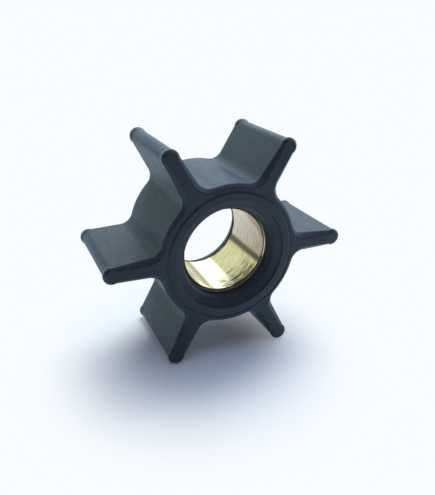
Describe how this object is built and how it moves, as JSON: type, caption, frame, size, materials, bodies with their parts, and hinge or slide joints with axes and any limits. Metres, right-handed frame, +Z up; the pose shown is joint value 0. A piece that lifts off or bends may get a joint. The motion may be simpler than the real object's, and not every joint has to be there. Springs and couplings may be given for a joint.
{
  "type": "pump impeller",
  "caption": "Flexible-vane pump impeller: rubber hub with straight tapered radial vanes, round tip beads and a keyed brass bush for the drive shaft.",
  "frame": {"origin": "centre of the bush bore, half way between the two faces", "axes": "+Y along the bore, from the front face to the back face; +Z up, with the impeller standing on the tips of its two lowest vanes; +X along the vane that points right from the front"},
  "size_m": [0.042, 0.0182, 0.0368],
  "materials": {
    "rubber": "satin moulded",
    "brass": "fine turned"
  },
  "bodies": {
    "root": {"impeller_body": "rubber", "hub_bush": "brass"}
  },
  "joints": []
}
